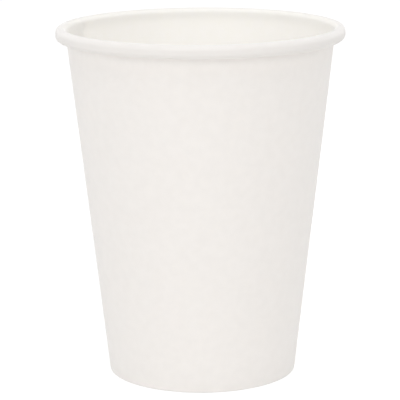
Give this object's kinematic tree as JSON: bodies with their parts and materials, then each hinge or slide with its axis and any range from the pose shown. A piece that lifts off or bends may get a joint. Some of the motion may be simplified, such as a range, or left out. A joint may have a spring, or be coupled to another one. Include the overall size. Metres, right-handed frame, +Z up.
{
  "type": "paper coffee cup",
  "caption": "Plain white paper cup for hot drinks: tapered lapped side wall with a rolled rim, and a recessed bottom disc held by the folded foot. No lid or sleeve.",
  "frame": {"origin": "centre of the foot, on the table that the cup stands on", "axes": "+Z up along the cup's axis, out of its mouth; +Y away from the viewer of the picture, +X to the viewer's right"},
  "size_m": [0.09, 0.09, 0.11],
  "materials": {
    "coated_board": "matte",
    "lined_board": "matte"
  },
  "bodies": {
    "root": {"side_wall": "coated_board", "bottom_disc": "lined_board"}
  },
  "joints": []
}
